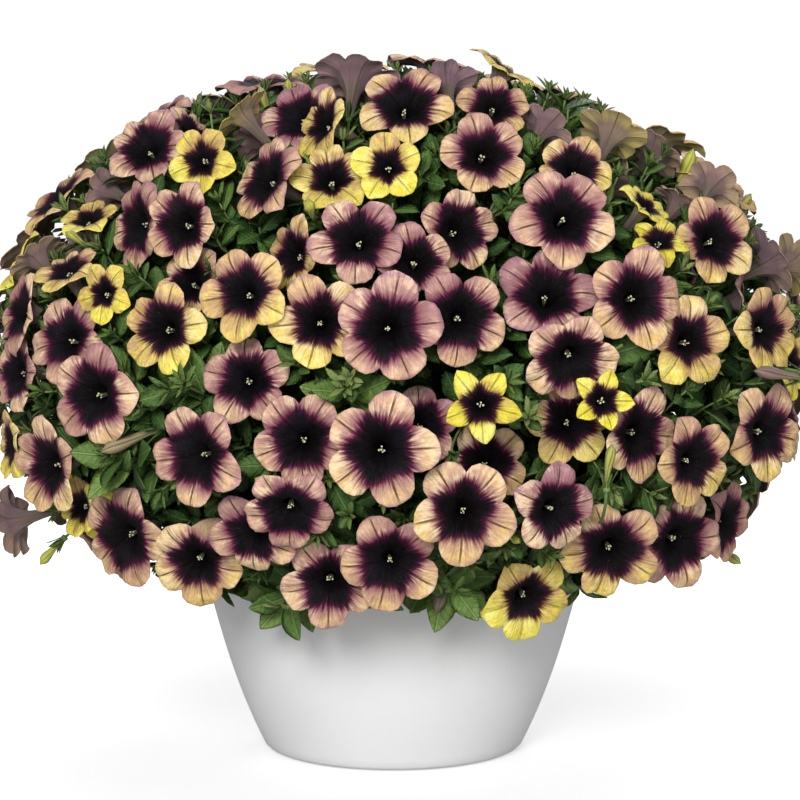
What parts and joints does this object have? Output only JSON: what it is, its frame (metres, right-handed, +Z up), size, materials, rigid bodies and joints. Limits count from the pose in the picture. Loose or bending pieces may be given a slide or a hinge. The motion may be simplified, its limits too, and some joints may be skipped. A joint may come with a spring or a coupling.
{
  "type": "potted petunia",
  "caption": "Potted petunia: a round mound of five-lobed trumpet blooms, peach and mauve to golden with dark throats, over green leaves, in a plain white flared bowl planter",
  "frame": {"origin": "Centre of the pot's foot, on the plane that it stands on", "axes": "+Z up through the middle of the pot and the mound; -Y towards the viewer of the picture; +X to that viewer's right. It stands on -Z"},
  "size_m": [0.5722, 0.5685, 0.4805],
  "materials": {
    "pot": "satin",
    "soil": "matte",
    "petals_mauve": "matte",
    "petals_peach": "matte",
    "petals_gold": "matte",
    "leaf": "matte"
  },
  "bodies": {
    "root": {"pot": "pot", "soil": "soil", "flowering_shoot_01": "petals_peach", "flowering_shoot_02": "petals_gold", "flowering_shoot_03": "petals_gold", "flowering_shoot_04": "petals_peach", "flowering_shoot_05": "petals_gold", "flowering_shoot_06": "petals_peach", "flowering_shoot_07": "petals_peach", "flowering_shoot_08": "petals_gold", "flowering_shoot_09": "petals_peach", "flowering_shoot_10": "petals_peach", "flowering_shoot_11": "petals_gold", "flowering_shoot_12": "petals_gold", "flowering_shoot_13": "petals_peach", "flowering_shoot_14": "petals_gold", "flowering_shoot_15": "petals_peach", "flowering_shoot_16": "petals_peach", "flowering_shoot_17": "petals_peach", "flowering_shoot_18": "petals_peach", "flowering_shoot_19": "petals_peach", "flowering_shoot_20": "petals_peach", "flowering_shoot_21": "petals_mauve", "flowering_shoot_22": "petals_gold", "flowering_shoot_23": "petals_gold", "flowering_shoot_24": "petals_peach", "leafy_shoot_01": "leaf", "leafy_shoot_02": "leaf", "leafy_shoot_03": "leaf", "leafy_shoot_04": "leaf", "leafy_shoot_05": "leaf", "leafy_shoot_06": "leaf", "leafy_shoot_07": "leaf", "leafy_shoot_08": "leaf", "leafy_shoot_09": "leaf", "leafy_shoot_10": "leaf", "leafy_shoot_11": "leaf", "leafy_shoot_12": "leaf"}
  },
  "joints": []
}
